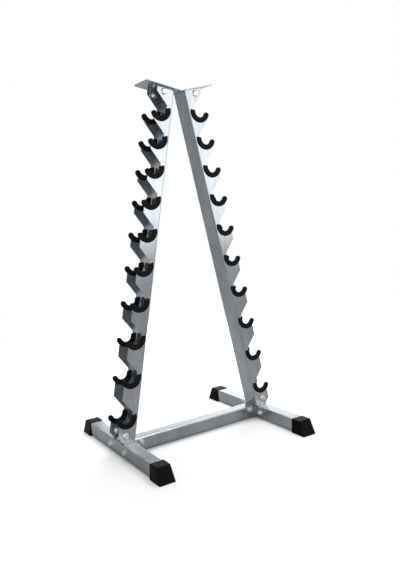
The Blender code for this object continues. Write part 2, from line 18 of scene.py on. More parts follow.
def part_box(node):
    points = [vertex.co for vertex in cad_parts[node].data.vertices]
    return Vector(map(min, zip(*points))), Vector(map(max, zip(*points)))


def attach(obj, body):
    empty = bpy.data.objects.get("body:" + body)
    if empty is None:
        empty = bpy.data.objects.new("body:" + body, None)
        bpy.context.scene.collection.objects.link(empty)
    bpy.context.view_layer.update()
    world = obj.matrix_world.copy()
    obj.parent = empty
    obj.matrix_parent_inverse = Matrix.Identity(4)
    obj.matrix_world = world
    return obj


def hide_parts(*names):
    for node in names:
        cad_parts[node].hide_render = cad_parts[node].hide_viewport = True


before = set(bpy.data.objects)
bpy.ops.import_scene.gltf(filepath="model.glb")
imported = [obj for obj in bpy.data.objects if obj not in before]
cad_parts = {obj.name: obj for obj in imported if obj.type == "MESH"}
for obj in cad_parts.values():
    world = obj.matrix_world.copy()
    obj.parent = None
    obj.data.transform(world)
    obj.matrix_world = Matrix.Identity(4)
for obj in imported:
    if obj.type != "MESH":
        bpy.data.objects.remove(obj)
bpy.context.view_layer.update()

# %% [markdown]
# ## Sizes
#
# Sheet-metal work is drawn in millimetres, so the sizes below are in millimetres times MM. The
# place of the base tubes is read from the box of a runner in the frame.

# %% Sizes and places
MM = 0.001
GAP = 0.3 * MM  # between parts that touch

TUBE = 50 * MM
TUBE_WALL = 2 * MM
SHEET = 3 * MM
BRACKET_SHEET = 4 * MM

runner_low, runner_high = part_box("right_runner")
RUNNER_X = (runner_low.x + runner_high.x) / 2
RUNNER_LENGTH = runner_high.y - runner_low.y
TUBE_TOP_Z = runner_high.z
TUBE_CENTRE_Z = TUBE_TOP_Z - TUBE / 2
RUNNER_INNER_X = RUNNER_X - TUBE / 2
CORNER_X = RUNNER_INNER_X - GAP
CORNER_Y = TUBE / 2 + GAP

LEAN = radians(11.7)
SEAT_LINE_FOOT_X = 337.7 * MM  # where the line below the seats meets the floor
CHANNEL_WIDTH = 80 * MM
FLANGE_MIDDLE_Y = (CHANNEL_WIDTH - SHEET) / 2
PLATE_VALLEY_Z = 1334 * MM
UPRIGHT_TOP = SEAT_LINE_FOOT_X * sin(LEAN) + PLATE_VALLEY_Z * cos(LEAN) - GAP

UPRIGHT_FRAME = Matrix.Translation((SEAT_LINE_FOOT_X, 0, 0)) @ Matrix.Rotation(-LEAN, 4, "Y")
HALF_TURN = Matrix.Rotation(pi, 4, "Z")
SIDES = {"right": Matrix.Identity(4), "left": HALF_TURN}
OTHER_ROW = {"front": "rear", "rear": "front"}
STAND_IN_XZ = Matrix.Rotation(pi / 2, 4, "X")
STAND_IN_YZ = Matrix(((0, 0, 1), (1, 0, 0), (0, 1, 0))).to_4x4()

print(f"runner centreline at {RUNNER_X / MM:.1f} mm, top of the base at {TUBE_TOP_Z / MM:.1f} mm")

# %% [markdown]
# ## Seats
#
# Heavier dumbbells are bigger, so the seats are further apart towards the floor. Each gap is the
# one below it less a fixed step, which is a rule that one short loop can follow.

# %% The seats' places along an upright
SEAT_PAIRS = 10
LOWEST_SEAT = 150 * MM
WIDEST_SEAT_GAP = 150 * MM
SEAT_GAP_STEP = 5.85 * MM
SEAT_CENTRE_X = 9 * MM
SEAT_RADIUS = 32.5 * MM


def seat_positions():
    """From the lowest seat to the highest."""
    place = LOWEST_SEAT
    gap = WIDEST_SEAT_GAP
    places = []
    for _ in range(SEAT_PAIRS):
        places.append(place)
        place += gap
        gap -= SEAT_GAP_STEP
    return places


print("seats at", [round(place / MM) for place in seat_positions()], "mm along the upright")

# %% [markdown]
# ## A graph builder
#
# Shader maths and Geometry Nodes are easier to read as expressions than as lists of links. A
# Value below wraps one socket, and its operators add Math nodes, so 1 - mask * 0.2 builds itself.
# Every other kind of node comes from one method, add.

# %% Values and graphs
class Value:
    """One socket of a node tree, which can be used in an expression."""

    def __init__(self, graph, socket):
        self.graph = graph
        self.socket = socket

    def math(self, operation, *others):
        inputs = dict(enumerate((self, *others)))
        return self.graph.add("ShaderNodeMath", inputs, {"operation": operation})

    def out(self, name):
        """Another output of the same node."""
        return Value(self.graph, self.socket.node.outputs[name])

    def __add__(self, other):
        return self.math("ADD", other)

    def __mul__(self, other):
        return self.math("MULTIPLY", other)

    def __sub__(self, other):
        return self.math("SUBTRACT", other)

    def __rsub__(self, other):
        return self.graph.add("ShaderNodeMath", {0: other, 1: self}, {"operation": "SUBTRACT"})

    def __truediv__(self, other):
        return self.math("DIVIDE", other)

    __radd__ = __add__
    __rmul__ = __mul__


class Graph:
    """A node tree that is built by calls."""

    def __init__(self, tree):
        self.tree = tree

    def add(self, kind, inputs=None, settings=None):
        """A new node, whose settings are set before its inputs."""
        node = self.tree.nodes.new(kind)
        for name, value in (settings or {}).items():
            if name == "stops":
                self.set_stops(node.color_ramp, value)
            else:
                setattr(node, name, value)
        self.fill(node, inputs or {})
        return Value(self, next((s for s in node.outputs if s.enabled), None))

    def fill(self, node, inputs):
        """Each input gets a value, a link or a list of links."""
        for name, value in inputs.items():
            for item in value if isinstance(value, list) else [value]:
                if isinstance(item, Value):
                    self.tree.links.new(item.socket, node.inputs[name])
                else:
                    node.inputs[name].default_value = item

    def vector(self, **parts):
        return self.add("ShaderNodeCombineXYZ", parts)

    @staticmethod
    def set_stops(ramp, stops):
        while len(ramp.elements) < len(stops):
            ramp.elements.new(1)
        for element, (position, level) in zip(ramp.elements, stops):
            element.position = position
            element.color = (level, level, level, 1)


print("a Value can add, subtract, multiply and divide")

# %% [markdown]
# ## Finishes
#
# The frame is powder coated in a metallic silver: aluminium flake in a clear binder, so it is
# part metal, with a fine sparkle, a slight orange-peel ripple and cloudy streaks where the spray
# overlapped. It wears bright on cut edges, which the mesh marks with an attribute named edge. The
# bolts are zinc plated, the seats are matt rubber and the foot caps are a slightly glossier
# plastic. All patterns use Object coordinates, in metres.

# %% A base for every finish
def finish(name, pattern):
    """A material with the shader inputs that pattern makes from a graph and coordinates."""
    material = bpy.data.materials.new(name)
    material.use_nodes = True
    graph = Graph(material.node_tree)
    coordinates = graph.add("ShaderNodeTexCoord").out("Object")
    graph.fill(graph.tree.nodes["Principled BSDF"], pattern(graph, coordinates))
    return counted(material)


def noise(graph, coordinates, scale, detail=2.0, roughness=0.5, stretch=(1, 1, 1)):
    placed = graph.add("ShaderNodeMapping", {"Vector": coordinates, "Scale": stretch})
    inputs = {"Vector": placed, "Scale": scale, "Detail": detail, "Roughness": roughness}
    return graph.add("ShaderNodeTexNoise", inputs)


def levels(graph, value, *stops):
    """Maps a value through (position, level) stops."""
    return graph.add("ShaderNodeValToRGB", {"Fac": value}, {"stops": stops})


def colour_between(graph, first, second, factor):
    """A mix of two colours, of which the first may be a mix itself."""
    if not isinstance(first, Value):
        first = (*first, 1)
    inputs = {0: factor, 6: first, 7: (*second, 1)}
    return graph.add("ShaderNodeMix", inputs, {"data_type": "RGBA"})


def bump(graph, height, strength, distance):
    inputs = {"Height": height, "Strength": strength, "Distance": distance}
    return graph.add("ShaderNodeBump", inputs)


def counted(owner):
    """Says how many nodes a material or a tree has."""
    tree = getattr(owner, "node_tree", owner)
    print(owner.name, "has", len(tree.nodes), "nodes")
    return owner


print("finishes start from one Principled shader each")

# %% Silver powder coat
COAT_DARK = (0.345, 0.380, 0.412)
COAT_LIGHT = (0.520, 0.556, 0.590)
COAT_WORN = (0.66, 0.67, 0.69)


def powder_coat(graph, place):
    clouds = noise(graph, place, 9, 4, 0.55, (1, 1, 0.35))
    streaks = noise(graph, place, 70, 3, 0.6, (1, 1, 0.06))
    flake = noise(graph, place, 2600, 1)
    mottle = noise(graph, place, 110, 3, 0.6)
    peel = noise(graph, place, 420, 2)
    rub = noise(graph, place, 55, 5, 0.7)
    edge = graph.add("ShaderNodeAttribute", None, {"attribute_name": "edge"}).out("Fac")
    worn = edge * levels(graph, rub, (0.42, 0), (0.62, 1))

    tone = clouds * 0.50 + streaks * 0.28 + mottle * 0.17 + flake * 0.05
    tone = levels(graph, tone, (0.38, 0), (0.62, 1))
    coat = colour_between(graph, COAT_DARK, COAT_LIGHT, tone)
    colour = colour_between(graph, coat, COAT_WORN, worn * 0.6)
    smudge = levels(graph, clouds, (0.35, 0), (0.7, 1))
    return {
        "Base Color": colour,
        "Roughness": 0.155 + smudge * 0.05 + mottle * 0.03 - worn * 0.03,
        "Metallic": 0.82 + worn * 0.13,
        "Normal": bump(graph, peel, 0.01, 0.1 * MM),
    }


POWDER_COAT = finish("silver_powder_coat", powder_coat)
COATED = (POWDER_COAT, "frame_coat")

# %% Zinc plate
ZINC_BLUE = (0.86, 0.88, 0.90)
ZINC_WARM = (0.93, 0.92, 0.90)


def zinc_plate(graph, place):
    tint = noise(graph, place, 70, 3)
    drag = noise(graph, place, 900, 3, 0.6)
    warm = levels(graph, tint, (0.35, 0), (0.65, 1))
    return {
        "Base Color": colour_between(graph, ZINC_BLUE, ZINC_WARM, warm),
        "Roughness": 0.24 + drag * 0.16,
        "Metallic": 1,
        "Normal": bump(graph, drag, 0.15, 0.05 * MM),
    }


ZINC_PLATE = finish("bright_zinc_plate", zinc_plate)

# %% Seat rubber
RUBBER_BLACK = (0.0060, 0.0060, 0.0065)
RUBBER_DUSTY = (0.0125, 0.0125, 0.0130)


def seat_rubber(graph, place):
    bloom = noise(graph, place, 38, 5, 0.65)
    grain = noise(graph, place, 1500, 2, 0.6)
    dust = levels(graph, bloom, (0.42, 0), (0.72, 1))
    return {
        "Base Color": colour_between(graph, RUBBER_BLACK, RUBBER_DUSTY, dust),
        "Roughness": 0.50 + dust * 0.16 + grain * 0.08,
        "Specular IOR Level": 0.10,
        "Normal": bump(graph, grain, 0.25, 0.12 * MM),
    }


SEAT_RUBBER = finish("seat_rubber", seat_rubber)

# %% Moulded foot plastic
PLASTIC_BLACK = (0.0015, 0.0015, 0.0017)
PLASTIC_SCUFFED = (0.006, 0.006, 0.0063)


def foot_plastic(graph, place):
    inputs = {"Vector": place, "Scale": 900}
    grain = graph.add("ShaderNodeTexVoronoi", inputs, {"feature": "SMOOTH_F1"})
    flow = noise(graph, place, 14, 3, 0.6, (1, 0.4, 1))
    scuff = levels(graph, noise(graph, place, 85, 6, 0.75), (0.60, 0), (0.74, 1))
    edge = graph.add("ShaderNodeAttribute", None, {"attribute_name": "edge"}).out("Fac")
    rubbed = scuff * 0.35 + edge * scuff * 0.5
    return {
        "Base Color": colour_between(graph, PLASTIC_BLACK, PLASTIC_SCUFFED, rubbed),
        "Roughness": 0.24 + flow * 0.12 + scuff * 0.12,
        "Specular IOR Level": 0.06,
        "Normal": bump(graph, grain, 0.22, 0.15 * MM),
    }


FOOT_PLASTIC = finish("moulded_foot_plastic", foot_plastic)

# %% [markdown]
# ## Outlines and solids
#
# Laser-cut and folded parts are all the same idea: an outline with a thickness. A flat curve
# fills an outline, holes and all, so it is the quickest way from a drawing to a plate. Booleans
# then cut it to its profile, and a Bevel modifier breaks the cut edges as a deburring brush does.
# The bevel's own faces get a second material slot, by which they are found and marked as edge.

# %% Outlines
ARC_STEP = radians(7.5)  # the most that a round outline turns between two points


def arc(centre, radius, start, end):
    """Points along an arc, both ends included."""
    steps = max(2, ceil(abs(end - start) / ARC_STEP))
    angles = [start + (end - start) * i / steps for i in range(steps + 1)]
    return [(centre[0] + radius * cos(a), centre[1] + radius * sin(a)) for a in angles]


def rounded(corners):
    """A closed outline from (x, y, radius) corners, each rounded to its radius."""
    outline = []
    for i, (x, y, radius) in enumerate(corners):
        here = Vector((x, y))
        if not radius:
            outline.append(tuple(here))
            continue
        back = (Vector(corners[i - 1][:2]) - here).normalized()
        onward = (Vector(corners[(i + 1) % len(corners)][:2]) - here).normalized()
        half_angle = back.angle(onward) / 2
        centre = here + (back + onward).normalized() * radius / sin(half_angle)
        first = here + back * radius / tan(half_angle) - centre
        sweep = (pi - 2 * half_angle) * (1 if back.cross(onward) < 0 else -1)
        steps = max(2, ceil(abs(sweep) / (2 * ARC_STEP)))
        for k in range(steps + 1):
            spoke = first.copy()
            spoke.rotate(Matrix.Rotation(sweep * k / steps, 2))
            outline.append(tuple(centre + spoke))
    return outline


def rectangle(low_x, low_y, high_x, high_y, radius=0):
    corners = ((low_x, low_y), (high_x, low_y), (high_x, high_y), (low_x, high_y))
    return rounded([(x, y, radius) for x, y in corners])


print("a full turn has", ceil(2 * pi / ARC_STEP), "steps")

# %% Solids
FLAT_ANGLE = radians(0.3)  # faces closer than this to one plane become one face
SHARP_ANGLE = radians(32)
ALONG_X, ALONG_Y, ALONG_Z = range(3)


def in_scene(name, data):
    obj = bpy.data.objects.new(name, data)
    bpy.context.scene.collection.objects.link(obj)
    return obj


@contextmanager
def editing(mesh):
    edit = bmesh.new()
    edit.from_mesh(mesh)
    yield edit
    edit.to_mesh(mesh)
    edit.free()


def extruded(name, outlines, depth, matrix):
    """An object between closed outlines, depth thick about their plane, placed by matrix."""
    curve = bpy.data.curves.new(name, "CURVE")
    curve.dimensions = "2D"
    curve.fill_mode = "BOTH"
    curve.extrude = depth / 2
    for outline in outlines:
        spline = curve.splines.new("POLY")
        spline.points.add(len(outline) - 1)
        for point, (x, y) in zip(spline.points, outline):
            point.co = (x, y, 0, 1)
        spline.use_cyclic_u = True
    holder = in_scene(name + "_outline", curve)
    evaluated = holder.evaluated_get(bpy.context.evaluated_depsgraph_get())
    mesh = bpy.data.meshes.new_from_object(evaluated)
    bpy.data.objects.remove(holder)
    bpy.data.curves.remove(curve)
    with editing(mesh) as edit:
        bmesh.ops.remove_doubles(edit, verts=edit.verts, dist=GAP / 100)
        bmesh.ops.transform(edit, matrix=matrix, verts=edit.verts)
        bmesh.ops.recalc_face_normals(edit, faces=edit.faces)
    return linked(name, mesh)


def linked(name, mesh):
    mesh.name = name
    mesh.materials.clear()
    return in_scene(name, mesh)


def cylinder(diameter, start, end):
    run = Vector(end) - Vector(start)
    place = Matrix.Translation((Vector(start) + Vector(end)) / 2)
    place = place @ Vector((0, 0, 1)).rotation_difference(run).to_matrix().to_4x4()
    radius = diameter / 2
    sizes = {"segments": 32, "radius1": radius, "radius2": radius, "depth": run.length}
    mesh = bpy.data.meshes.new("cylinder")
    with editing(mesh) as edit:
        bmesh.ops.create_cone(edit, cap_ends=True, matrix=place, **sizes)
    return linked("cylinder", mesh)


def drill(diameter, place, axis, low, high):
    """A cutter for a round hole through place, from low to high along one axis."""
    start = Vector(place)
    end = Vector(place)
    start[axis] = low
    end[axis] = high
    return cylinder(diameter, start, end)


def bake(obj):
    """Turns an object with modifiers into its plain evaluated mesh."""
    evaluated = obj.evaluated_get(bpy.context.evaluated_depsgraph_get())
    mesh = bpy.data.meshes.new_from_object(evaluated)
    obj.modifiers.clear()
    obj.data = mesh
    return obj


def combine(obj, tools, operation="DIFFERENCE"):
    """One Boolean for each tool, after which the tools are gone and flat faces are whole."""
    for tool in tools:
        boolean = obj.modifiers.new(tool.name, "BOOLEAN")
        boolean.operation = operation
        boolean.object = tool
    bake(obj)
    for tool in tools:
        bpy.data.objects.remove(tool)
    merge_flats(obj)
    return obj


def merge_flats(obj):
    with editing(obj.data) as edit:
        bmesh.ops.remove_doubles(edit, verts=edit.verts, dist=GAP / 100)
        flat = {"verts": edit.verts, "edges": edit.edges, "delimit": set()}
        bmesh.ops.dissolve_limit(edit, angle_limit=FLAT_ANGLE, **flat)


def break_edges(obj, width, segments=2, angle=SHARP_ANGLE):
    """Rounds the sharp edges and marks the new faces in the attribute edge."""
    for name in ("face", "edge"):
        obj.data.materials.append(bpy.data.materials.get(name) or bpy.data.materials.new(name))
    bevel = obj.modifiers.new("broken_edges", "BEVEL")
    bevel.width = width
    bevel.segments = segments
    bevel.limit_method = "ANGLE"
    bevel.angle_limit = angle
    bevel.use_clamp_overlap = False
    bevel.material = 1
    bake(obj)
    on_edge = [float(polygon.material_index) for polygon in obj.data.polygons]
    attribute = obj.data.attributes.new("edge", "FLOAT", "FACE")
    attribute.data.foreach_set("value", on_edge)
    for polygon in obj.data.polygons:
        polygon.material_index = 0
    obj.data.materials.clear()
    return obj


print("plates, cutters and broken edges are ready")

# %% [markdown]
# ## Keeping a piece
#
# A finished piece sits at the origin with its place in its mesh, takes its material, rides on the
# frame's one body and says which parts it stands for. Smooth shading with normals weighted by the
# size of each face keeps a flat wall flat right up to its bends, so that only the bends catch a
# line of light.

# %% Keep a piece
BODY = "root"


def keep(obj, material, slot, stands_for=()):
    obj.data.materials.clear()
    obj.data.materials.append(material)
    obj.data.shade_smooth()
    obj.data.set_sharp_from_angle(angle=SHARP_ANGLE)
    weighted = obj.modifiers.new("flat_faces", "WEIGHTED_NORMAL")
    weighted.keep_sharp = True
    bake(obj)
    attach(obj, BODY)
    if stands_for:
        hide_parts(*stands_for)
    obj.data.calc_loop_triangles()
    print(f"{obj.name}: {len(obj.data.loop_triangles)} triangles")
    return obj


def copied(obj, name, matrix):
    """A copy with its own mesh, moved or mirrored by matrix within the mesh."""
    mesh = obj.data.copy()
    mesh.transform(matrix)
    if matrix.is_negative:
        mesh.flip_normals()
    return linked(name, mesh)


def keep_both_sides(obj, name, node, material, slot, rows=None):
    """Keeps obj, made on the right, there and half-turned on the left, each for its own node.

    The half turn also swaps the front and rear rows of a piece that has both."""
    for side, turn in SIDES.items():
        for row, matrix in (rows or {None: Matrix()}).items():
            row = row if side == "right" else OTHER_ROW.get(row)
            place = f"{side}_{row}" if row else side
            piece = copied(obj, f"{place}_{name}", turn @ matrix)
            keep(piece, material, slot, [f"{place}_{node}"])
    bpy.data.objects.remove(obj)


print("pieces ride on", BODY)

# %% [markdown]
# ## Base tubes
#
# The runners and the crossbar are lengths of square tube, drawn as one outline inside another.
# Real tube is rolled, so its corners are round, and those corners give the long bright lines that
# make it look like tube. The bolt holes are cut through before the ends are deburred.

# %% Runners and crossbar
TUBE_CORNER = 4 * MM
BOLT_HOLE = 10.8 * MM
SCREW_HOLE = 8.8 * MM
CORNER_BOLT = 35 * MM  # from a joint's corner to the hole in each leg
CROSSBAR_BOLT_Z = 40 * MM
FOOT_SCREW_X = 330 * MM
FOOT_SCREW_Y = 14 * MM
CUT_EDGE = 0.4 * MM


def square_tube(name, length, matrix):
    half = TUBE / 2
    inside = half - TUBE_WALL
    outer = rectangle(-half, -half, half, half, TUBE_CORNER)
    inner = rectangle(-inside, -inside, inside, inside, TUBE_CORNER - TUBE_WALL)
    return extruded(name, [outer, inner], length, matrix)


def make_runners():
    place = Matrix.Translation((RUNNER_X, 0, TUBE_CENTRE_Z)) @ STAND_IN_XZ
    runner = square_tube("runner", RUNNER_LENGTH, place)
    holes = []
    for y in (-1, 1):
        bolt = (RUNNER_X, y * (CORNER_Y + CORNER_BOLT), TUBE_CENTRE_Z)
        holes.append(drill(BOLT_HOLE, bolt, ALONG_X, RUNNER_X - TUBE, RUNNER_X + TUBE))
        screw = (FOOT_SCREW_X, y * FOOT_SCREW_Y, TUBE_TOP_Z)
        holes.append(drill(SCREW_HOLE, screw, ALONG_Z, TUBE_CENTRE_Z, TUBE_TOP_Z + TUBE))
    break_edges(combine(runner, holes), CUT_EDGE)
    keep_both_sides(runner, "runner_tube", "runner", *COATED)


def make_crossbar():
    place = Matrix.Translation((0, 0, TUBE_CENTRE_Z)) @ STAND_IN_YZ
    crossbar = square_tube("crossbar_tube", 2 * CORNER_X, place)
    x = CORNER_X - CORNER_BOLT
    bolts = [(-x, 0, CROSSBAR_BOLT_Z), (x, 0, CROSSBAR_BOLT_Z)]
    holes = [drill(BOLT_HOLE, bolt, ALONG_Y, -TUBE, TUBE) for bolt in bolts]
    break_edges(combine(crossbar, holes), CUT_EDGE)
    keep(crossbar, *COATED, ["crossbar"])


make_runners()
make_crossbar()

# %% [markdown]
# ## Uprights
#
# An upright is a channel 80 mm across, folded from sheet, with its two flanges laser cut into
# teeth. Each tooth has a round seat, a ledge behind it, a root and a diagonal up to the next
# corner. The channel is extruded from its folded section. One solid then cuts both flanges to
# the profile, another cuts the foot level with the base, and drills make the four bolt holes.

# %% The profile of the teeth
WEB_FACE = -38 * MM
TOOTH_EDGE = 33 * MM
TOOTH_ROOT = -15.5 * MM
BEND_INSIDE = 1.5 * MM
ROOT_ABOVE_SEAT = 20.3 * MM
CORNER_ABOVE_SEAT = 65 * MM
LOWEST_CORNER = 75 * MM
TOOTH_CORNER_ROUND = 7 * MM
TOOTH_ROOT_ROUND = 4 * MM
PAD_WEB_END = radians(169.7)  # where a pad's square end stands, seen from the seat's centre
MARGIN = 5 * MM  # how far a cutter runs past what it cuts


def tooth_profile():
    """The free edge of a flange, from its foot to its top, in the upright's own X and Z."""
    tip_angle = -acos((TOOTH_EDGE - SEAT_CENTRE_X) / SEAT_RADIUS)
    web_angle = PAD_WEB_END - LEAN
    ledge = (TOOTH_ROOT - SEAT_CENTRE_X) / cos(web_angle)
    lowest_root = LOWEST_CORNER - (CORNER_ABOVE_SEAT - ROOT_ABOVE_SEAT)
    corners = [
        (TOOTH_ROOT, -MARGIN, 0),
        (TOOTH_ROOT, lowest_root, TOOTH_ROOT_ROUND),
        (TOOTH_EDGE, LOWEST_CORNER, TOOTH_CORNER_ROUND),
    ]
    for seat in seat_positions():
        bowl = arc((SEAT_CENTRE_X, seat), SEAT_RADIUS, tip_angle, web_angle - 2 * pi)
        corners += [(x, z, 0) for x, z in bowl]
        corners.append((TOOTH_ROOT, seat + ledge * sin(web_angle), 0))
        corners.append((TOOTH_ROOT, seat + ROOT_ABOVE_SEAT, TOOTH_ROOT_ROUND))
        corners.append((TOOTH_EDGE, seat + CORNER_ABOVE_SEAT, TOOTH_CORNER_ROUND))
    corners.append((TOOTH_EDGE, UPRIGHT_TOP + MARGIN, 0))
    return corners


print(len(tooth_profile()), "points in the profile before its corners are rounded")

# %% Uprights
FLANGE_BOLT_Z = UPRIGHT_TOP - 17.5 * MM  # the top bolt, along the upright
FLANGE_BOLT_X = 4.5 * MM
FOOT_BOLT_X = 324 * MM
FOOT_BOLT_Z = 81 * MM


def in_upright(x, y, z):
    return UPRIGHT_FRAME @ Vector((x, y, z))


def channel_section():
    half = CHANNEL_WIDTH / 2
    inside = half - SHEET
    far = TOOTH_EDGE + MARGIN
    outer_bend = BEND_INSIDE + SHEET
    return [
        (WEB_FACE, -half, outer_bend),
        (far, -half, 0),
        (far, -inside, 0),
        (WEB_FACE + SHEET, -inside, BEND_INSIDE),
        (WEB_FACE + SHEET, inside, BEND_INSIDE),
        (far, inside, 0),
        (far, half, 0),
        (WEB_FACE, half, outer_bend),
    ]


def make_uprights():
    lift = UPRIGHT_FRAME @ Matrix.Translation((0, 0, UPRIGHT_TOP / 2))
    upright = extruded("upright_channel", [rounded(channel_section())], UPRIGHT_TOP, lift)
    away = TOOTH_EDGE + 2 * MARGIN
    waste = [(away, -MARGIN, 0), *tooth_profile(), (away, UPRIGHT_TOP + MARGIN, 0)]
    width = CHANNEL_WIDTH + 2 * MARGIN
    teeth = extruded("teeth_cut", [rounded(waste)], width, UPRIGHT_FRAME @ STAND_IN_XZ)
    foot_x = SEAT_LINE_FOOT_X + 2 * WEB_FACE
    floor = TUBE_TOP_Z + GAP
    below = rectangle(foot_x, -floor, foot_x + 4 * TUBE, floor)
    foot = extruded("foot_cut", [below], width, STAND_IN_XZ)
    reach = CHANNEL_WIDTH / 2 + MARGIN
    bolts = (in_upright(FLANGE_BOLT_X, 0, FLANGE_BOLT_Z), (FOOT_BOLT_X, 0, FOOT_BOLT_Z))
    holes = [drill(BOLT_HOLE, bolt, ALONG_Y, -reach, reach) for bolt in bolts]
    break_edges(combine(upright, [teeth, foot, *holes]), CUT_EDGE)
    keep_both_sides(upright, "upright_channel", "upright", *COATED)


make_uprights()

# %% [markdown]
# ## Top plate
#
# The two uprights are tied together at the top by one plate, bent to a shallow V so that it lies
# square on both. Four tabs below it stand inside the flanges and take the bolts. The plate is
# extruded from the side, trimmed to a round-cornered plan, and joined to its tabs.

# %% Top plate
PLATE_THICKNESS = 3 * MM
PLATE_HALF_LENGTH = 142 * MM
PLATE_HALF_WIDTH = 55 * MM
PLATE_CORNER = 14 * MM
PLATE_BEND_INSIDE = 6 * MM
TAB_WIDTH = 36 * MM
TAB_LENGTH = 34 * MM
TAB_CORNER = 16 * MM


def plate_side_view():
    rise = PLATE_HALF_LENGTH * tan(LEAN)
    edge = Vector((-sin(LEAN), cos(LEAN))) * PLATE_THICKNESS
    valley_top = PLATE_VALLEY_Z + PLATE_THICKNESS / cos(LEAN)
    return [
        (-PLATE_HALF_LENGTH, PLATE_VALLEY_Z + rise, 0),
        (0, PLATE_VALLEY_Z, PLATE_BEND_INSIDE + PLATE_THICKNESS),
        (PLATE_HALF_LENGTH, PLATE_VALLEY_Z + rise, 0),
        (PLATE_HALF_LENGTH + edge.x, PLATE_VALLEY_Z + rise + edge.y, 0),
        (0, valley_top, PLATE_BEND_INSIDE),
        (-PLATE_HALF_LENGTH - edge.x, PLATE_VALLEY_Z + rise + edge.y, 0),
    ]


def make_top_plate():
    width = 2 * PLATE_HALF_WIDTH
    plate = extruded("bent_top_plate", [rounded(plate_side_view())], width, STAND_IN_XZ)
    end = PLATE_HALF_LENGTH + GAP
    wide = PLATE_HALF_WIDTH + GAP / 2
    plan = extruded("plan", [rectangle(-end, -wide, end, wide, PLATE_CORNER)], 4, Matrix())
    combine(plate, [plan], "INTERSECT")
    half = TAB_WIDTH / 2
    low = UPRIGHT_TOP - TAB_LENGTH
    high = UPRIGHT_TOP + GAP + PLATE_THICKNESS / 2
    outline = rounded(
        [
            (FLANGE_BOLT_X - half, low, TAB_CORNER),
            (FLANGE_BOLT_X + half, low, TAB_CORNER),
            (FLANGE_BOLT_X + half, high, 0),
            (FLANGE_BOLT_X - half, high, 0),
        ]
    )
    tab_y = CHANNEL_WIDTH / 2 - SHEET - GAP - BRACKET_SHEET / 2
    tabs = []
    holes = []
    for turn in SIDES.values():
        leaning = turn @ UPRIGHT_FRAME
        for y in (-tab_y, tab_y):
            place = leaning @ Matrix.Translation((0, y, 0)) @ STAND_IN_XZ
            tabs.append(extruded("tab", [outline], BRACKET_SHEET, place))
        ends = [leaning @ Vector((FLANGE_BOLT_X, y, FLANGE_BOLT_Z)) for y in (-TUBE, TUBE)]
        holes.append(cylinder(BOLT_HOLE, *ends))
    combine(plate, tabs, "UNION")
    break_edges(combine(plate, holes), CUT_EDGE)
    keep(plate, *COATED, ["top_plate"])


make_top_plate()

# %% [markdown]
# ## Brackets
#
# Brackets of 4 mm plate make the joints. A U stands on each runner inside the foot of the upright,
# and an L sits in each of the four corners between crossbar and runner. Both are extruded from
# their folded section and trimmed to their outline seen from the side.

# %% Foot brackets
BRACKET_BEND_INSIDE = 2 * MM
FOOT_BRACKET_X = (296 * MM, 342 * MM)
FOOT_EAR_RADIUS = 15 * MM
FOOT_EAR_START = 8 * MM


def make_foot_brackets():
    low_x, high_x = FOOT_BRACKET_X
    floor = TUBE_TOP_Z + GAP
    half = CHANNEL_WIDTH / 2 - SHEET - GAP
    inside = half - BRACKET_SHEET
    top = FOOT_BOLT_Z + FOOT_EAR_RADIUS + MARGIN
    outer_bend = BRACKET_BEND_INSIDE + BRACKET_SHEET
    section = [
        (-half, top, 0),
        (-half, floor, outer_bend),
        (half, floor, outer_bend),
        (half, top, 0),
        (inside, top, 0),
        (inside, floor + BRACKET_SHEET, BRACKET_BEND_INSIDE),
        (-inside, floor + BRACKET_SHEET, BRACKET_BEND_INSIDE),
        (-inside, top, 0),
    ]
    place = Matrix.Translation(((low_x + high_x) / 2, 0, 0)) @ STAND_IN_YZ
    bracket = extruded("foot_bracket", [rounded(section)], high_x - low_x, place)
    ear = arc((FOOT_BOLT_X, FOOT_BOLT_Z), FOOT_EAR_RADIUS, 0, pi)
    side_view = [
        (low_x - MARGIN, floor - MARGIN),
        (high_x + MARGIN, floor - MARGIN),
        (high_x + MARGIN, floor + FOOT_EAR_START),
        *ear,
        (low_x - MARGIN, floor + FOOT_EAR_START),
    ]
    trim = extruded("ear_trim", [side_view], CHANNEL_WIDTH, STAND_IN_XZ)
    combine(bracket, [trim], "INTERSECT")
    holes = [drill(BOLT_HOLE, (FOOT_BOLT_X, 0, FOOT_BOLT_Z), ALONG_Y, -TUBE, TUBE)]
    ends = (floor - MARGIN, floor + BRACKET_SHEET + MARGIN)
    for y in (-FOOT_SCREW_Y, FOOT_SCREW_Y):
        holes.append(drill(SCREW_HOLE, (FOOT_SCREW_X, y, floor), ALONG_Z, *ends))
    break_edges(combine(bracket, holes), CUT_EDGE)
    keep_both_sides(bracket, "foot_u_bracket", "foot_bracket", *COATED)


make_foot_brackets()

# %% Corner brackets
CROSSBAR_LEG = 72 * MM
RUNNER_LEG = 50 * MM
CORNER_HEIGHT = 46 * MM
LEG_END_HEIGHT = 12 * MM  # what is left of the crossbar leg's height where its taper ends
LEG_TAPER_FOOT = 10 * MM
LEG_CORNER = 4 * MM


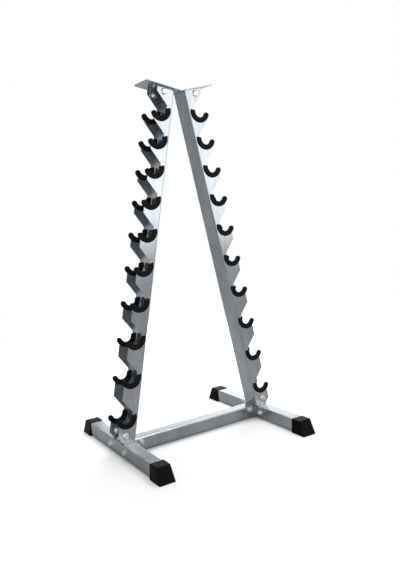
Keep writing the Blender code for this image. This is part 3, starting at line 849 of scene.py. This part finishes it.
def make_corner_brackets():
    """An L whose leg along the crossbar tapers from below. The rear ones are mirror images."""
    section = [
        (0, 0, BRACKET_BEND_INSIDE + BRACKET_SHEET),
        (-CROSSBAR_LEG, 0, 0),
        (-CROSSBAR_LEG, -BRACKET_SHEET, 0),
        (-BRACKET_SHEET, -BRACKET_SHEET, BRACKET_BEND_INSIDE),
        (-BRACKET_SHEET, -RUNNER_LEG, 0),
        (0, -RUNNER_LEG, 0),
    ]
    middle = Matrix.Translation((0, 0, TUBE_CENTRE_Z))
    bracket = extruded("corner_bracket", [rounded(section)], CORNER_HEIGHT, middle)
    half = CORNER_HEIGHT / 2
    crossbar_leg = [
        (MARGIN, half, 0),
        (-CROSSBAR_LEG, half, LEG_CORNER),
        (-CROSSBAR_LEG, half - LEG_END_HEIGHT, LEG_CORNER),
        (-CROSSBAR_LEG + MARGIN, half - LEG_END_HEIGHT, 0),
        (-LEG_TAPER_FOOT, -half - MARGIN, 0),
        (MARGIN, -half - MARGIN, 0),
    ]
    runner_leg = [
        (-RUNNER_LEG, -half, LEG_CORNER),
        (MARGIN, -half, 0),
        (MARGIN, half, 0),
        (-RUNNER_LEG, half, LEG_CORNER),
    ]
    depth = 4 * RUNNER_LEG
    trims = [
        extruded("crossbar_leg", [rounded(crossbar_leg)], depth, middle @ STAND_IN_XZ),
        extruded("runner_leg", [rounded(runner_leg)], depth, middle @ STAND_IN_YZ),
    ]
    combine(bracket, trims, "INTERSECT")
    ends = (-2 * BRACKET_SHEET, MARGIN)
    holes = [
        drill(BOLT_HOLE, (-CORNER_BOLT, 0, CROSSBAR_BOLT_Z), ALONG_Y, *ends),
        drill(BOLT_HOLE, (0, -CORNER_BOLT, TUBE_CENTRE_Z), ALONG_X, *ends),
    ]
    break_edges(combine(bracket, holes), CUT_EDGE)
    mirror = Matrix.Diagonal((1, -1, 1, 1))
    rows = {
        "front": Matrix.Translation((CORNER_X, -CORNER_Y, 0)),
        "rear": Matrix.Translation((CORNER_X, CORNER_Y, 0)) @ mirror,
    }
    keep_both_sides(bracket, "corner_l_bracket", "corner_bracket", *COATED, rows)


make_corner_brackets()

# %% [markdown]
# ## Foot caps
#
# A cap is one moulding that slips over the end of a runner. It widens and slopes out towards the
# floor, so that it doesn't roll under, and its sole has grooves for grip. A block with its
# corners moved is the quickest start, and a bevel gives the moulded edges.

# %% Foot caps
CAP_MOUTH = 257 * MM
CAP_END_TOP = 304 * MM
CAP_END_BOTTOM = 329 * MM
CAP_HALF_WIDTH_TOP = 28 * MM
CAP_HALF_WIDTH_BOTTOM = 31.5 * MM
CAP_HEIGHT = 56 * MM
CAP_EDGE_ROUND = 3 * MM
SOLE_GROOVES = 5
SOLE_GROOVE_WIDTH = 3 * MM
SOLE_GROOVE_DEPTH = 1.2 * MM


def cap_block():
    mesh = bpy.data.meshes.new("foot_cap")
    with editing(mesh) as edit:
        bmesh.ops.create_cube(edit, size=2)
        for vert in edit.verts:
            at_top = vert.co.z > 0
            at_end = vert.co.y < 0
            half_width = CAP_HALF_WIDTH_TOP if at_top else CAP_HALF_WIDTH_BOTTOM
            end = CAP_END_TOP if at_top else CAP_END_BOTTOM
            vert.co.x = RUNNER_X + vert.co.x * half_width
            vert.co.y = -end if at_end else -CAP_MOUTH
            vert.co.z = CAP_HEIGHT if at_top else 0
        rims = [e for e in edit.edges if any(v.co.z > 0 for v in e.verts)]
        rounding = {"offset": CAP_EDGE_ROUND, "segments": 5, "profile": 0.5}
        bmesh.ops.bevel(edit, geom=rims, affect="EDGES", **rounding)
    return linked("foot_cap", mesh)


def make_foot_caps():
    cap = cap_block()
    half = TUBE / 2 + GAP
    pocket_start = RUNNER_LENGTH / 2 + GAP
    depth = pocket_start - CAP_MOUTH + MARGIN
    place = Matrix.Translation((RUNNER_X, depth / 2 - pocket_start, TUBE_CENTRE_Z))
    outline = rectangle(-half, -half, half, half, TUBE_CORNER)
    cutters = [extruded("pocket", [outline], depth, place @ STAND_IN_XZ)]
    to_axis = Matrix.Translation((RUNNER_X, 0, 0))
    sole_length = CAP_END_BOTTOM - CAP_MOUTH
    side = SOLE_GROOVE_WIDTH / 2
    for i in range(SOLE_GROOVES):
        y = -CAP_MOUTH - sole_length * (i + 1) / (SOLE_GROOVES + 1)
        groove = rectangle(y - side, -SOLE_GROOVE_DEPTH, y + side, SOLE_GROOVE_DEPTH)
        cutters.append(extruded("groove", [groove], 1.5 * TUBE, to_axis @ STAND_IN_YZ))
    combine(cap, cutters)
    rows = {"front": Matrix(), "rear": to_axis @ HALF_TURN @ to_axis.inverted()}
    keep_both_sides(cap, "foot_cap_moulding", "foot_cap", FOOT_PLASTIC, "foot_plastic", rows)


make_foot_caps()

# %% [markdown]
# ## Seat pads
#
# Each seat is lined with a C of rubber that grips the edge of the sheet in a groove, with a square
# end by the web and a fat round tip outside that keeps the handle in. One pad is modelled at the
# origin. A Geometry Nodes tree then works out each seat's place from the same rule as above and
# puts a copy there, so that a row of ten is one short tree.

# %% One pad
PAD_OUTER_RADIUS = 42 * MM
PAD_INNER_RADIUS = 22 * MM
PAD_THICKNESS = 11 * MM
PAD_EDGE_ROUND = 2.4 * MM
PAD_GROOVE_RADIUS = SEAT_RADIUS - 0.8 * MM
PAD_GROOVE_WIDTH = SHEET + 2 * GAP
PAD_GROOVE_START = PAD_WEB_END - radians(10)
PAD_TIP = radians(-22.8)
PAD_GROOVE_END = radians(-28)
NODE_FILL = 0.997  # how much of the width and height of its part a pad fills


def pad_outline():
    middle = (PAD_OUTER_RADIUS + PAD_INNER_RADIUS) / 2
    bead = (PAD_OUTER_RADIUS - PAD_INNER_RADIUS) / 2
    tip = PAD_TIP + 2 * pi
    tip_centre = (middle * cos(tip), middle * sin(tip))
    return [
        *arc((0, 0), PAD_OUTER_RADIUS, PAD_WEB_END, tip),
        *arc(tip_centre, bead, tip, tip + pi)[1:-1],
        *arc((0, 0), PAD_INNER_RADIUS, tip, PAD_WEB_END),
    ]


def fit_to_node(obj, node):
    """Scales a piece at the origin by the hair that keeps its box within a part's."""
    low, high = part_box(node)
    xs = [v.co.x for v in obj.data.vertices]
    zs = [v.co.z for v in obj.data.vertices]
    scale_x = NODE_FILL * (high.x - low.x) / (max(xs) - min(xs))
    scale_z = NODE_FILL * (high.z - low.z) / (max(zs) - min(zs))
    obj.data.transform(Matrix.Diagonal((scale_x, 1, scale_z, 1)))
    print(f"{obj.name} scaled by {scale_x:.4f} and {scale_z:.4f}")


def make_pad():
    pad = extruded("one_pad", [pad_outline()], PAD_THICKNESS, STAND_IN_XZ)
    merge_flats(pad)
    break_edges(pad, PAD_EDGE_ROUND, 4)
    beyond = PAD_OUTER_RADIUS + MARGIN
    end = PAD_GROOVE_END + 2 * pi
    groove_outline = [
        *arc((0, 0), beyond, PAD_GROOVE_START, end),
        *arc((0, 0), PAD_GROOVE_RADIUS, end, PAD_GROOVE_START),
    ]
    groove = extruded("groove", [groove_outline], PAD_GROOVE_WIDTH, STAND_IN_XZ)
    combine(pad, [groove])
    fit_to_node(pad, "right_front_pad_01")
    return pad


ONE_PAD = make_pad()

# %% A new Geometry Nodes tree
def new_geometry_tree(name, inputs):
    """A tree with a geometry going in and out and these named inputs, and its graph."""
    tree = bpy.data.node_groups.new(name, "GeometryNodeTree")
    tree.is_modifier = True
    tree.interface.new_socket("Geometry", in_out="INPUT", socket_type="NodeSocketGeometry")
    tree.interface.new_socket("Geometry", in_out="OUTPUT", socket_type="NodeSocketGeometry")
    for label, kind in inputs.items():
        tree.interface.new_socket(label, in_out="INPUT", socket_type="NodeSocket" + kind)
    graph = Graph(tree)
    return tree, graph, graph.add("NodeGroupInput")


def finish_tree(graph, instances, material):
    """Ends a tree: what was instanced becomes real mesh, in one material."""
    real = graph.add("GeometryNodeRealizeInstances", {"Geometry": instances})
    painted = graph.add("GeometryNodeSetMaterial", {"Geometry": real, "Material": material})
    graph.add("NodeGroupOutput", {"Geometry": painted})


def grown(name, tree, mesh, settings):
    """A new object on mesh that runs a tree with these settings, as a plain mesh."""
    obj = linked(name, mesh)
    modifier = obj.modifiers.new(tree.name, "NODES")
    modifier.node_group = tree
    for socket in tree.interface.items_tree:
        if socket.name in settings:
            modifier[socket.identifier] = settings[socket.name]
    return bake(obj)


print("trees end in Realize Instances and Set Material")

# %% The tree for a row of pads
def row_of_pads_tree():
    inputs = {"Pad": "Object", "Count": "Int", "Rubber": "Material"}
    for label in ("Lowest Seat", "Widest Gap", "Gap Step", "Foot X", "Seat X", "Row Y"):
        inputs[label] = "Float"
    inputs |= {"Lean": "Float", "Turn": "Float"}
    tree, graph, given = new_geometry_tree("row_of_pads", inputs)
    number = graph.add("GeometryNodeInputIndex")
    step = given.out("Gap Step") * number * (number - 1) / 2
    along = given.out("Lowest Seat") + given.out("Widest Gap") * number - step
    lean_sin = given.out("Lean").math("SINE")
    lean_cos = given.out("Lean").math("COSINE")
    x = given.out("Foot X") + lean_cos * given.out("Seat X") - lean_sin * along
    z = lean_sin * given.out("Seat X") + lean_cos * along
    seat = graph.vector(X=x, Y=given.out("Row Y"), Z=z)
    points = graph.add("GeometryNodeMeshLine", {"Count": given.out("Count")})
    placed = graph.add("GeometryNodeSetPosition", {"Geometry": points, "Position": seat})
    pad = graph.add("GeometryNodeObjectInfo", {"Object": given.out("Pad")}).out("Geometry")
    copies = graph.add("GeometryNodeInstanceOnPoints", {"Points": placed, "Instance": pad})
    turn = graph.vector(Z=given.out("Turn"))
    turned = graph.add("GeometryNodeTransform", {"Geometry": copies, "Rotation": turn})
    finish_tree(graph, turned, given.out("Rubber"))
    return tree


PAD_ROW_TREE = counted(row_of_pads_tree())

# %% Four rows of pads
def make_pad_rows():
    for side, turn, away in (("right", 0.0, 1), ("left", pi, -1)):
        for row, y in (("front", -FLANGE_MIDDLE_Y), ("rear", FLANGE_MIDDLE_Y)):
            settings = {
                "Pad": ONE_PAD,
                "Count": SEAT_PAIRS,
                "Lowest Seat": LOWEST_SEAT,
                "Widest Gap": WIDEST_SEAT_GAP,
                "Gap Step": SEAT_GAP_STEP,
                "Lean": LEAN,
                "Foot X": SEAT_LINE_FOOT_X,
                "Seat X": SEAT_CENTRE_X,
                "Row Y": away * y,
                "Turn": turn,
                "Rubber": SEAT_RUBBER,
            }
            name = f"{side}_{row}_seat_pads"
            pads = grown(name, PAD_ROW_TREE, bpy.data.meshes.new(name), settings)
            nodes = [f"{side}_{row}_pad_{n:02d}" for n in range(1, SEAT_PAIRS + 1)]
            keep(pads, SEAT_RUBBER, "seat_rubber", nodes)
    bpy.data.objects.remove(ONE_PAD)


make_pad_rows()

# %% [markdown]
# ## Bolts, screws and nuts
#
# All the fasteners are one idea: a shank with a hexagon head at one end and a hexagon nut at the
# other, each on a round tapered flange. A hexagon bar cut by a wide cone has the curved chamfer
# that a real head has. One tree takes the sizes as inputs, makes the fastener, and puts it at each
# point of a small mesh, turned to the direction that the point faces and spun by a seeded random
# angle, as a spanner leaves it.

# %% Sizes of the fasteners
FASTENER_SIZES = (
    # size, M10, M8
    ("Across Flats", 17 * MM, 13 * MM),
    ("Head Height", 8 * MM, 6 * MM),
    ("Washer Diameter", 25 * MM, 17 * MM),
    ("Washer Height", 2 * MM, 1.5 * MM),
    ("Shank Diameter", 9.8 * MM, 7.8 * MM),
    ("Nut Height", 8 * MM, 6.5 * MM),
    ("Shank End", 11 * MM, 9 * MM),
)
M10 = {size: m10 for size, m10, _ in FASTENER_SIZES}
M8 = {size: m8 for size, _, m8 in FASTENER_SIZES}
HEAD_EDGE = 0.3 * MM
FLANGE_TAPER = 0.78  # its top's radius over its rim's
CHAMFER_START = 0.43  # the top's flat radius over the width across the flats
CHAMFER_SLOPE = 1.73  # a 30 degree chamfer: how far it runs in for each unit down

print("an M10 head is", M10["Across Flats"] / MM, "mm across its flats")


# %% The fastener tree
def lifted(graph, geometry, height):
    inputs = {"Geometry": geometry, "Translation": graph.vector(Z=height)}
    return graph.add("GeometryNodeTransform", inputs)


def hexagon_with_chamfers(graph, across, height, ends):
    """A hexagon bar on z = 0 with a 30 degree chamfer at its top, and at its foot if ends is 2."""
    radius = across * (0.5 / cos(pi / 6))
    inputs = {"Vertices": 6, "Radius": radius, "Depth": height}
    bar = lifted(graph, graph.add("GeometryNodeMeshCylinder", inputs), height * 0.5)
    narrow = across * CHAMFER_START
    inputs = {
        "Vertices": 48,
        "Radius Top": narrow,
        "Radius Bottom": narrow + height * CHAMFER_SLOPE,
        "Depth": height,
    }
    cone = graph.add("GeometryNodeMeshCone", inputs)
    solids = [bar, cone]
    if ends == 2:
        up = graph.vector(Z=height)
        inputs = {"Geometry": cone, "Translation": up, "Rotation": (pi, 0, 0)}
        solids.append(graph.add("GeometryNodeTransform", inputs))
    settings = {"operation": "INTERSECT", "solver": "EXACT"}
    return graph.add("GeometryNodeMeshBoolean", {"Mesh 2": solids}, settings)


def flange(graph, top, bottom, height):
    sizes = {"Vertices": 40, "Radius Top": top, "Radius Bottom": bottom, "Depth": height}
    return graph.add("GeometryNodeMeshCone", sizes)


def fastener_tree():
    inputs = {"Grip": "Float", "Seed": "Int", "Plating": "Material"}
    inputs |= {size: "Float" for size in M10}
    tree, graph, given = new_geometry_tree("fasteners", inputs)
    across = given.out("Across Flats")
    washer = given.out("Washer Height")
    rim = given.out("Washer Diameter") * 0.5
    face = flange(graph, rim * FLANGE_TAPER, rim, washer)
    sunk = washer * 0.5
    head = hexagon_with_chamfers(graph, across, given.out("Head Height") - sunk, 1)
    head = lifted(graph, head, sunk)
    length = given.out("Grip") + given.out("Shank End") + washer
    shank_radius = given.out("Shank Diameter") * 0.5
    sizes = {"Vertices": 28, "Radius": shank_radius, "Depth": length}
    shank = graph.add("GeometryNodeMeshCylinder", sizes)
    shank = lifted(graph, shank, washer - length * 0.5)
    nut = hexagon_with_chamfers(graph, across, given.out("Nut Height"), 2)
    nut = lifted(graph, nut, 0 - given.out("Grip") - given.out("Nut Height"))
    nut_face = flange(graph, rim, rim * FLANGE_TAPER, washer)
    nut_face = lifted(graph, nut_face, 0 - given.out("Grip") - washer)
    settings = {"operation": "UNION", "solver": "EXACT"}
    solids = [face, head, shank, nut, nut_face]
    whole = graph.add("GeometryNodeMeshBoolean", {"Mesh 2": solids}, settings)
    settings = {"data_type": "FLOAT_VECTOR"}
    facing = graph.add("GeometryNodeInputNamedAttribute", {"Name": "facing"}, settings)
    outwards = graph.add("FunctionNodeAlignRotationToVector", {"Vector": facing}, {"axis": "Z"})
    inputs = {2: 0.0, 3: pi / 3, "Seed": given.out("Seed")}
    spin = graph.add("FunctionNodeRandomValue", inputs, {"data_type": "FLOAT"})
    inputs = {"Rotation": outwards, "Rotate By": graph.vector(Z=spin)}
    spun = graph.add("FunctionNodeRotateRotation", inputs, {"rotation_space": "LOCAL"})
    inputs = {"Points": given.out("Geometry"), "Instance": whole, "Rotation": spun}
    copies = graph.add("GeometryNodeInstanceOnPoints", inputs)
    finish_tree(graph, copies, given.out("Plating"))
    return tree


FASTENER_TREE = counted(fastener_tree())

# %% Place the fasteners
def points_facing(name, places):
    """A mesh with one vertex for each (point, direction), the direction kept as facing."""
    mesh = bpy.data.meshes.new(name)
    mesh.from_pydata([tuple(point) for point, _ in places], [], [])
    attribute = mesh.attributes.new("facing", "FLOAT_VECTOR", "POINT")
    attribute.data.foreach_set("vector", [number for _, facing in places for number in facing])
    return mesh


def on_each_side(places):
    """The places on the right, and the same turned half round for the left."""
    turned = [(HALF_TURN @ Vector(point), HALF_TURN @ Vector(facing)) for point, facing in places]
    return list(places) + turned


def place_fasteners(name, places, sizes, seed, stands_for=()):
    settings = {**sizes, "Seed": seed, "Plating": ZINC_PLATE}
    obj = grown(name, FASTENER_TREE, points_facing(name, places), settings)
    merge_flats(obj)
    break_edges(obj, HEAD_EDGE)
    keep(obj, ZINC_PLATE, "zinc_plate", stands_for)


def make_flange_bolts():
    """Through each flange, into a tab at the top and into the foot bracket's ear below."""
    surface = CHANNEL_WIDTH / 2 + GAP / 3
    places = []
    for y in (-1, 1):
        places.append((in_upright(FLANGE_BOLT_X, y * surface, FLANGE_BOLT_Z), (0, y, 0)))
        places.append(((FOOT_BOLT_X, y * surface, FOOT_BOLT_Z), (0, y, 0)))
    grip = SHEET + BRACKET_SHEET + 2 * GAP
    place_fasteners("flange_bolts", on_each_side(places), {**M10, "Grip": grip}, 3)


def make_frame_bolts():
    """Through each runner and the leg of a corner bracket, heads outwards."""
    x = RUNNER_X + TUBE / 2 + GAP / 3
    y = CORNER_Y + CORNER_BOLT
    places = on_each_side([((x, row * y, TUBE_CENTRE_Z), (1, 0, 0)) for row in (-1, 1)])
    nodes = [f"{side}_{row}_frame_bolt" for side in SIDES for row in OTHER_ROW]
    grip = TUBE + BRACKET_SHEET + 2 * GAP
    place_fasteners("frame_bolts", places, {**M10, "Grip": grip, "Shank End": 12 * MM}, 5, nodes)


def make_crossbar_bolts():
    """Through the crossbar and the two bracket legs on it, above the bolts through the runner."""
    y = -CORNER_Y - BRACKET_SHEET - GAP / 3
    places = on_each_side([((CORNER_X - CORNER_BOLT, y, CROSSBAR_BOLT_Z), (0, -1, 0))])
    grip = TUBE + 2 * BRACKET_SHEET + 3 * GAP
    sizes = {**M10, "Washer Diameter": 20.5 * MM, "Grip": grip}
    place_fasteners("crossbar_bolts", places, sizes, 7)


def make_foot_screws():
    """Down through the foot brackets and the runners' upper wall."""
    z = TUBE_TOP_Z + GAP + BRACKET_SHEET + GAP / 3
    rows = (-FOOT_SCREW_Y, FOOT_SCREW_Y)
    places = on_each_side([((FOOT_SCREW_X, y, z), (0, 0, 1)) for y in rows])
    grip = BRACKET_SHEET + TUBE_WALL + 2 * GAP
    place_fasteners("foot_screws", places, {**M8, "Grip": grip}, 11)


make_flange_bolts()
make_frame_bolts()
make_crossbar_bolts()
make_foot_screws()

# %% [markdown]
# ## Floor, light and camera
#
# The rack stands on a plain pale floor that fades into a white background. Metallic paint shows
# what it reflects, so the light is four large panels. One behind and low whitens the tops of the
# tubes. One in front whitens the upper flanges. One behind the camera lights the insides of the
# channels, and one overhead makes the shadows on the floor. To the camera the background is
# white, but the paint reflects a grey floor and a grey room, as in a studio with unlit walls.

# %% Floor
FLOOR_RADIUS = 2.6
FLOOR_FADE = (0.75, 1.5)  # from the middle, where the floor starts and ends turning white
FLOOR_GLOW = 0.06  # how much of the floor's own white is added under the rack
FLOOR_GREY = (0.36, 0.82)  # in reflections, and to the camera


def pale_floor(graph, place):
    seen = graph.add("ShaderNodeLightPath").out("Is Camera Ray")
    far = graph.add("ShaderNodeVectorMath", {0: place}, {"operation": "LENGTH"}).out("Value")
    start, end = FLOOR_FADE
    fade = (far - start) / (end - start)
    glow = fade.math("MINIMUM", 1).math("MAXIMUM", 0) * (1 - FLOOR_GLOW) + FLOOR_GLOW
    unseen_grey, seen_grey = FLOOR_GREY
    return {
        "Base Color": seen * (seen_grey - unseen_grey) + unseen_grey,
        "Roughness": 0.9,
        "Specular IOR Level": 0,
        "Emission Color": seen * glow,
        "Emission Strength": 1,
    }


def make_floor():
    mesh = bpy.data.meshes.new("floor")
    with editing(mesh) as edit:
        bmesh.ops.create_circle(edit, cap_ends=True, segments=96, radius=FLOOR_RADIUS)
    floor = linked("floor", mesh)
    mesh.materials.append(finish("pale_floor", pale_floor))


make_floor()
print("floor", 2 * FLOOR_RADIUS, "m across")

# %% Light
ROOM_GREY = 0.40
PANELS = {
    # place, target, width, height, brightness
    "front_panel": ((1.6, -2.5, 1.58), (1.6, 0, 1.58), 2.4, 1.9, 1.8),
    "back_panel": ((1.83, 2.53, 0.98), (0, 0, 0.98), 2.3, 0.58, 1.7),
    "camera_panel": ((-2.0, -3.3, 1.35), (0, 0, 1.0), 2.4, 2.5, 1.4),
    "top_panel": ((0.45, 0.85, 3.0), (0, 0, 0), 2.3, 2.3, 6.6),
}


def add_panel(name, place, target, width, height, brightness):
    """A soft light panel at place, facing target, that the camera doesn't see."""
    light = bpy.data.lights.new(name, "AREA")
    light.shape = "RECTANGLE"
    light.size = width
    light.size_y = height
    light.energy = brightness * pi * width * height
    panel = in_scene(name, light)
    panel.location = place
    direction = Vector(target) - Vector(place)
    panel.rotation_euler = direction.to_track_quat("-Z", "Y").to_euler()
    panel.visible_camera = False


def make_room():
    """A world that is white to the camera and grey to everything else."""
    world = bpy.data.worlds.new("studio")
    bpy.context.scene.world = world
    world.use_nodes = True
    graph = Graph(world.node_tree)
    seen = graph.add("ShaderNodeLightPath").out("Is Camera Ray")
    level = seen * (1 - ROOM_GREY) + ROOM_GREY
    background = world.node_tree.nodes["Background"]
    graph.tree.links.new(level.socket, background.inputs["Strength"])
    background.inputs["Color"].default_value = (1, 1, 1, 1)
    bpy.context.scene.view_settings.view_transform = "Standard"


make_room()
for name, panel in PANELS.items():
    add_panel(name, *panel)
print(len(PANELS), "light panels")

# %% Camera
CAMERA_PLACE = (-1.191, -1.959, 0.884)
CAMERA_HEADING = radians(32.66)  # from +Y towards +X
CAMERA_PITCH = radians(-7.06)
CAMERA_ROLL = radians(-3.44)
CAMERA_LENS = 37.1
CAMERA_SENSOR = 36


def make_camera():
    data = bpy.data.cameras.new("camera")
    data.lens = CAMERA_LENS
    data.sensor_width = CAMERA_SENSOR
    camera = in_scene("camera", data)
    heading = Matrix.Rotation(-CAMERA_HEADING, 4, "Z")
    pitch = Matrix.Rotation(pi / 2 + CAMERA_PITCH, 4, "X")
    roll = Matrix.Rotation(CAMERA_ROLL, 4, "Z")
    camera.matrix_world = Matrix.Translation(CAMERA_PLACE) @ heading @ pitch @ roll
    bpy.context.scene.camera = camera


make_camera()
print("camera at", CAMERA_PLACE)
